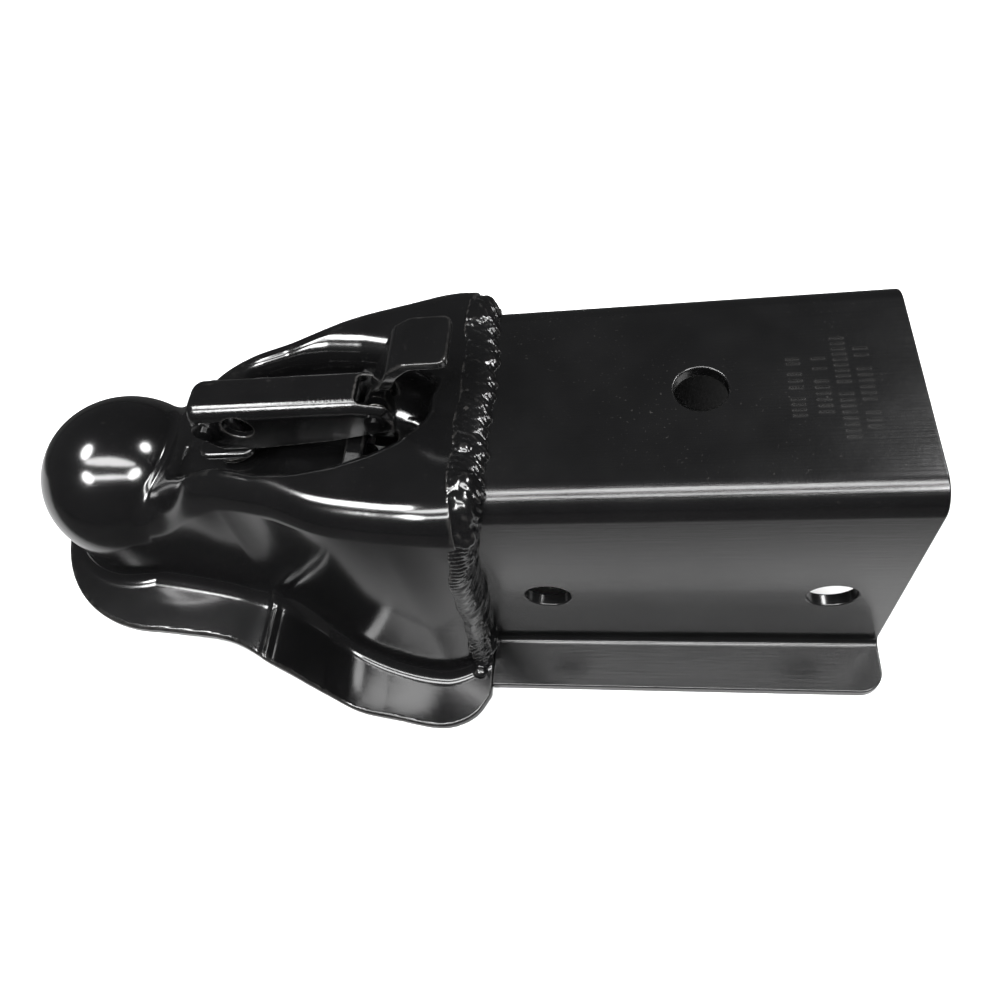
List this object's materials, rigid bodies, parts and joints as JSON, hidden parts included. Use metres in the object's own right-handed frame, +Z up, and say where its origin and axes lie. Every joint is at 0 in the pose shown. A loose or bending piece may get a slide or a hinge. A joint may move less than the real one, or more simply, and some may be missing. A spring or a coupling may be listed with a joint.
{
  "type": "trailer ball coupler",
  "caption": "Pressed ball coupler welded to a folded straight tongue channel, with a lever latch, finger trigger and ball clamp.",
  "frame": {"origin": "centre of the ball socket, which is the hitch ball's centre when the part is coupled", "axes": "+X rearward along the tongue to the trailer, +Y across the part along the cross bolts, +Z up"},
  "size_m": [0.343, 0.164, 0.148],
  "materials": {
    "black_paint": "gloss",
    "weld": "rough gloss",
    "zinc_steel": "satin",
    "spring_steel": "satin",
    "nylon": "matte"
  },
  "bodies": {
    "head": {"socket_head": "black_paint", "tongue_channel": "black_paint", "weld_bead_top": "weld", "weld_bead_left": "weld", "weld_bead_right": "weld", "cam_saddle": "black_paint", "stud_spring": "spring_steel", "keeper_strap": "black_paint", "clamp_fulcrum_pin": "zinc_steel"},
    "stud": {"latch_stud": "zinc_steel", "clamp_washer": "zinc_steel", "lock_nut": "zinc_steel", "lock_nut_insert": "nylon"},
    "lever": {"latch_lever": "black_paint", "lever_pivot_pin": "zinc_steel", "pivot_pin_clips": "spring_steel", "trigger_pin": "zinc_steel", "trigger_pin_clips": "spring_steel", "trigger_spring": "spring_steel"},
    "trigger": {"finger_trigger": "black_paint"},
    "clamp": {"ball_clamp": "black_paint"}
  },
  "joints": [
    {"name": "stud_drop", "type": "slide", "parent": "head", "child": "stud", "axis": [0, 0, -1], "range_m": [0, 0.0047]},
    {"name": "lever_swing", "type": "hinge", "parent": "stud", "child": "lever", "pos_m": [0.059, 0, 0.0445], "axis": [0, -1, 0], "range_deg": [0, 80]},
    {"name": "trigger_pull", "type": "hinge", "parent": "lever", "child": "trigger", "pos_m": [0.123, 0, 0.046], "axis": [0, -1, 0], "range_deg": [0, 20], "stiffness_Nm_per_rad": 0.06, "springref_deg": -5.73},
    {"name": "clamp_tilt", "type": "hinge", "parent": "head", "child": "clamp", "pos_m": [0.098, 0, -0.006], "axis": [0, -1, 0], "range_deg": [0, 6.1]}
  ],
  "couplings": [
    {"joint": "stud_drop", "follows": "lever_swing", "m_per_rad": 0.0032945},
    {"joint": "clamp_tilt", "follows": "lever_swing", "ratio": 0.075}
  ]
}
